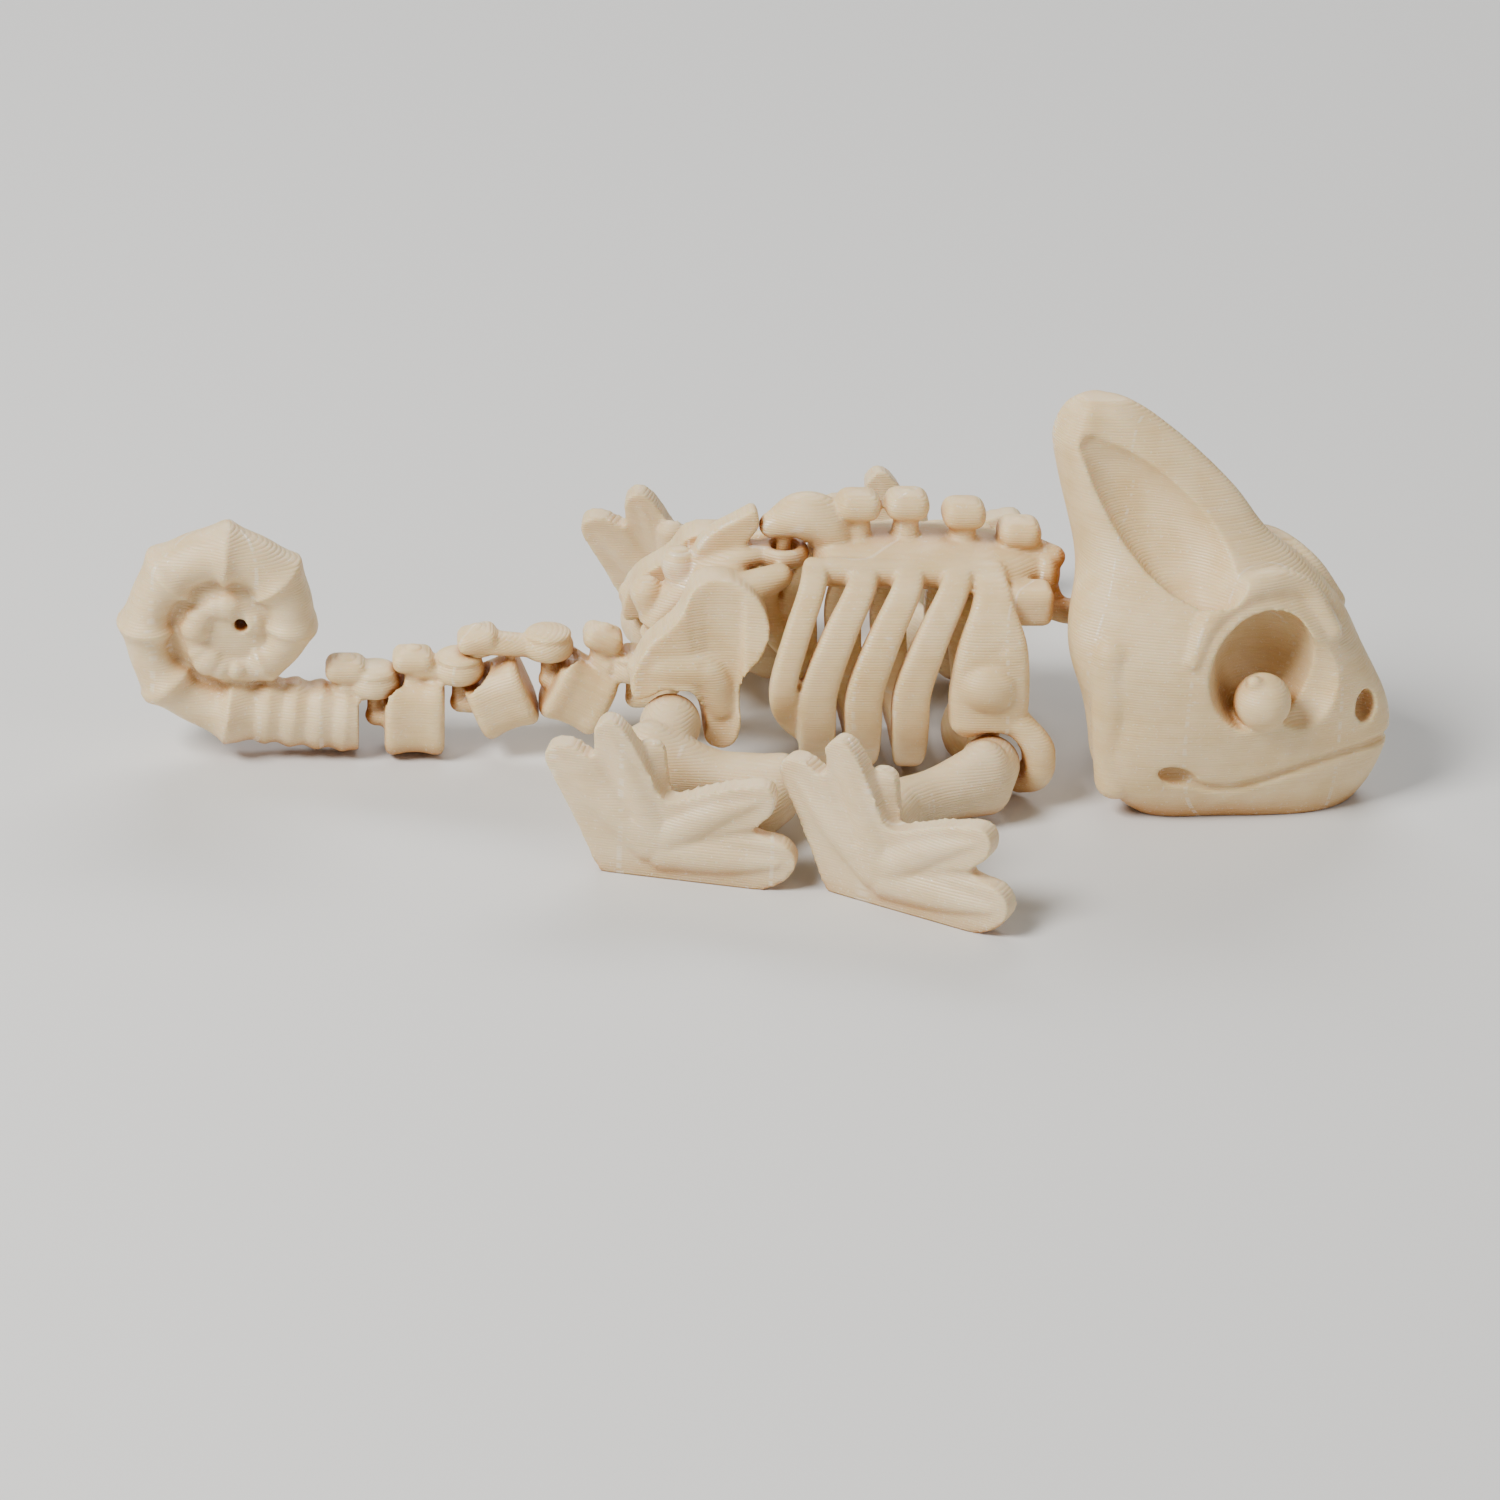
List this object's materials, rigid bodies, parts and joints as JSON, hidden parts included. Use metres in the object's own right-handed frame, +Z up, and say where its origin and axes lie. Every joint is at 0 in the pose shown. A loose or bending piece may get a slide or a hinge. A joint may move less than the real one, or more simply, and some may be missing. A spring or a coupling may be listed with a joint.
{
  "type": "articulated chameleon skeleton toy, 3D-printed",
  "caption": "Print-in-place flexible chameleon skeleton toy with a tall casqued skull, open rib cage, mitten feet and a hinged tail ending in a coil.",
  "frame": {"origin": "centre of the whole toy's box, on the surface that it lies on", "axes": "+X towards the head, +Y towards the animal's left side, +Z up"},
  "size_m": [0.0929, 0.0558, 0.0299],
  "materials": {
    "pla": "satin, fine printed layers"
  },
  "bodies": {
    "torso": {"spine": "pla", "ribs_right": "pla", "ribs_left": "pla"},
    "head": {"skull": "pla", "eye_right": "pla", "eye_left": "pla"},
    "hips": {"pelvis": "pla"},
    "tail_link_3": {"tail_3": "pla"},
    "tail_link_2": {"tail_2": "pla"},
    "tail_link_1": {"tail_1": "pla"},
    "tail_end": {"tail_base": "pla", "tail_coil": "pla"},
    "hind_leg_right": {"leg_hind_right": "pla"},
    "hind_leg_left": {"leg_hind_left": "pla"},
    "front_leg_right": {"leg_front_right": "pla"},
    "front_leg_left": {"leg_front_left": "pla"}
  },
  "joints": [
    {"name": "neck", "type": "hinge", "parent": "torso", "child": "head", "pos_m": [0.02544, -0.0016, 0.0125], "axis": [0, 0, 1], "range_deg": [-12, 15]},
    {"name": "waist", "type": "hinge", "parent": "torso", "child": "hips", "pos_m": [0.00198, 0.0007, 0.0162], "axis": [0, 0, 1], "range_deg": [-5, 3]},
    {"name": "tail_hinge_3", "type": "hinge", "parent": "hips", "child": "tail_link_3", "pos_m": [-0.00872, 0.0007, 0.0069], "axis": [0, 0, 1], "range_deg": [-12, 12]},
    {"name": "tail_hinge_2", "type": "hinge", "parent": "tail_link_3", "child": "tail_link_2", "pos_m": [-0.01502, 0.0007, 0.0086], "axis": [0, 0, 1], "range_deg": [-12, 12]},
    {"name": "tail_hinge_1", "type": "hinge", "parent": "tail_link_2", "child": "tail_link_1", "pos_m": [-0.02152, 0.0007, 0.0067], "axis": [0, 0, 1], "range_deg": [-12, 12]},
    {"name": "tail_end_hinge", "type": "hinge", "parent": "tail_link_1", "child": "tail_end", "pos_m": [-0.02772, 0.0007, 0.0056], "axis": [0, 0, 1], "range_deg": [-12, 12]},
    {"name": "hip_right", "type": "hinge", "parent": "hips", "child": "hind_leg_right", "pos_m": [-0.00642, -0.0073, 0.0062], "axis": [0, 0, 1], "range_deg": [-15, 3]},
    {"name": "hip_left", "type": "hinge", "parent": "hips", "child": "hind_leg_left", "pos_m": [-0.00642, 0.0087, 0.0062], "axis": [0, 0, 1], "range_deg": [0, 15]},
    {"name": "shoulder_right", "type": "hinge", "parent": "torso", "child": "front_leg_right", "pos_m": [0.01678, -0.0087, 0.0036], "axis": [0, 0, 1], "range_deg": [-6, 15]},
    {"name": "shoulder_left", "type": "hinge", "parent": "torso", "child": "front_leg_left", "pos_m": [0.01678, 0.0101, 0.0036], "axis": [0, 0, 1], "range_deg": [-12, 12]}
  ]
}
